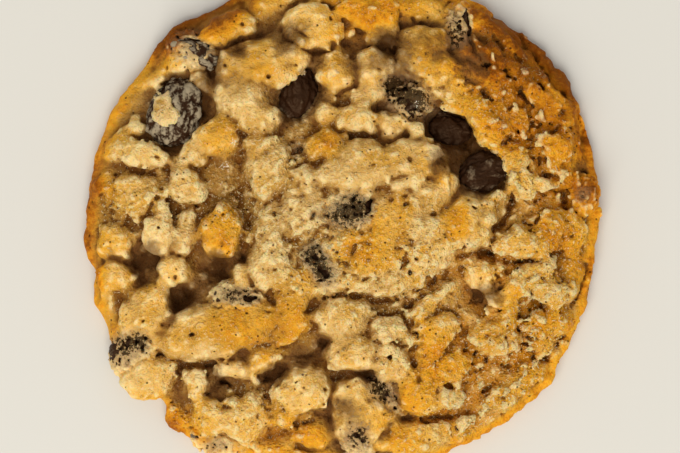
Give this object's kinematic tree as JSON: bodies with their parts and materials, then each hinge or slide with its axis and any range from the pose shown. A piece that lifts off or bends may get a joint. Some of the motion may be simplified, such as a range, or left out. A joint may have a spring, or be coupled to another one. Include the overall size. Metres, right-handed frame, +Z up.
{
  "type": "oatmeal raisin cookie",
  "caption": "Round baked oatmeal raisin cookie with a low domed, lumpy oat top, raisins set in it and a flat underside.",
  "frame": {"origin": "middle of the flat underside", "axes": "+Z up through the domed top, +X to the right and +Y to the far side of the cookie as it lies"},
  "size_m": [0.0846, 0.0854, 0.0134],
  "materials": {
    "baked_dough": "golden brown baked oat dough, matt and rough",
    "raisin_skin": "dark wrinkled dried fruit skin, half matt"
  },
  "bodies": {
    "root": {"dough": "baked_dough", "raisin_01": "raisin_skin", "raisin_02": "raisin_skin", "raisin_03": "raisin_skin", "raisin_04": "raisin_skin", "raisin_05": "raisin_skin", "raisin_06": "raisin_skin", "raisin_07": "raisin_skin", "raisin_08": "raisin_skin", "raisin_09": "raisin_skin", "raisin_10": "raisin_skin", "raisin_11": "raisin_skin", "raisin_12": "raisin_skin", "raisin_13": "raisin_skin", "raisin_14": "raisin_skin", "raisin_15": "raisin_skin"}
  },
  "joints": []
}
